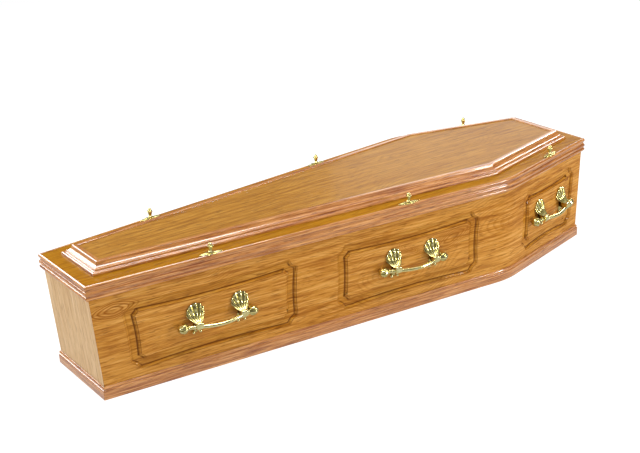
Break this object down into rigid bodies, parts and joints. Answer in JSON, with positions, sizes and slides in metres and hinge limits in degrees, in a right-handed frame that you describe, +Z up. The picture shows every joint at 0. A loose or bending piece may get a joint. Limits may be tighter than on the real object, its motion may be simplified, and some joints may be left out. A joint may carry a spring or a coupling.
{
  "type": "wooden coffin",
  "caption": "Six-sided oak coffin with a raised moulded lid, routed side panels, bar handles on shell plates and lid screws, hollow inside.",
  "frame": {"origin": "on the ground under the middle of the coffin", "axes": "+X from the foot end to the head end, +Z up, -Y the side that the picture shows"},
  "size_m": [1.93, 0.594, 0.3965],
  "materials": {
    "oak_boards": "oak veneer, satin lacquer, grain along the board",
    "oak_ends": "oak veneer, satin lacquer, grain upright",
    "oak_lid": "oak veneer, satin lacquer, grain lengthwise",
    "oak_mouldings": "stained oak moulding, gloss lacquer",
    "brass_fittings": "polished pale brass"
  },
  "bodies": {
    "root": {"base_board": "oak_boards", "end_board_foot": "oak_ends", "end_board_head": "oak_ends", "handle_bar_foot_left": "brass_fittings", "handle_bar_foot_right": "brass_fittings", "handle_bar_head_left": "brass_fittings", "handle_bar_head_right": "brass_fittings", "handle_bar_middle_left": "brass_fittings", "handle_bar_middle_right": "brass_fittings", "handle_bracket_foot_left_footward": "brass_fittings", "handle_bracket_foot_left_headward": "brass_fittings", "handle_bracket_foot_right_footward": "brass_fittings", "handle_bracket_foot_right_headward": "brass_fittings", "handle_bracket_head_left_footward": "brass_fittings", "handle_bracket_head_left_headward": "brass_fittings", "handle_bracket_head_right_footward": "brass_fittings", "handle_bracket_head_right_headward": "brass_fittings", "handle_bracket_middle_left_footward": "brass_fittings", "handle_bracket_middle_left_headward": "brass_fittings", "handle_bracket_middle_right_footward": "brass_fittings", "handle_bracket_middle_right_headward": "brass_fittings", "lid_board": "oak_lid", "lid_moulding_foot": "oak_mouldings", "lid_moulding_head": "oak_mouldings", "lid_moulding_left": "oak_mouldings", "lid_moulding_right": "oak_mouldings", "lid_screw_foot_left": "brass_fittings", "lid_screw_foot_right": "brass_fittings", "lid_screw_head_left": "brass_fittings", "lid_screw_head_right": "brass_fittings", "lid_screw_middle_left": "brass_fittings", "lid_screw_middle_right": "brass_fittings", "plinth_moulding_foot": "oak_mouldings", "plinth_moulding_head": "oak_mouldings", "plinth_moulding_left": "oak_mouldings", "plinth_moulding_right": "oak_mouldings", "raised_frame_foot": "oak_mouldings", "raised_frame_head": "oak_mouldings", "raised_frame_long_left": "oak_mouldings", "raised_frame_long_right": "oak_mouldings", "raised_frame_shoulder_left": "oak_mouldings", "raised_frame_shoulder_right": "oak_mouldings", "raised_panel": "oak_lid", "screw_plate_foot_left": "brass_fittings", "screw_plate_foot_right": "brass_fittings", "screw_plate_head_left": "brass_fittings", "screw_plate_head_right": "brass_fittings", "screw_plate_middle_left": "brass_fittings", "screw_plate_middle_right": "brass_fittings", "side_board_left": "oak_boards", "side_board_right": "oak_boards"}
  },
  "joints": []
}
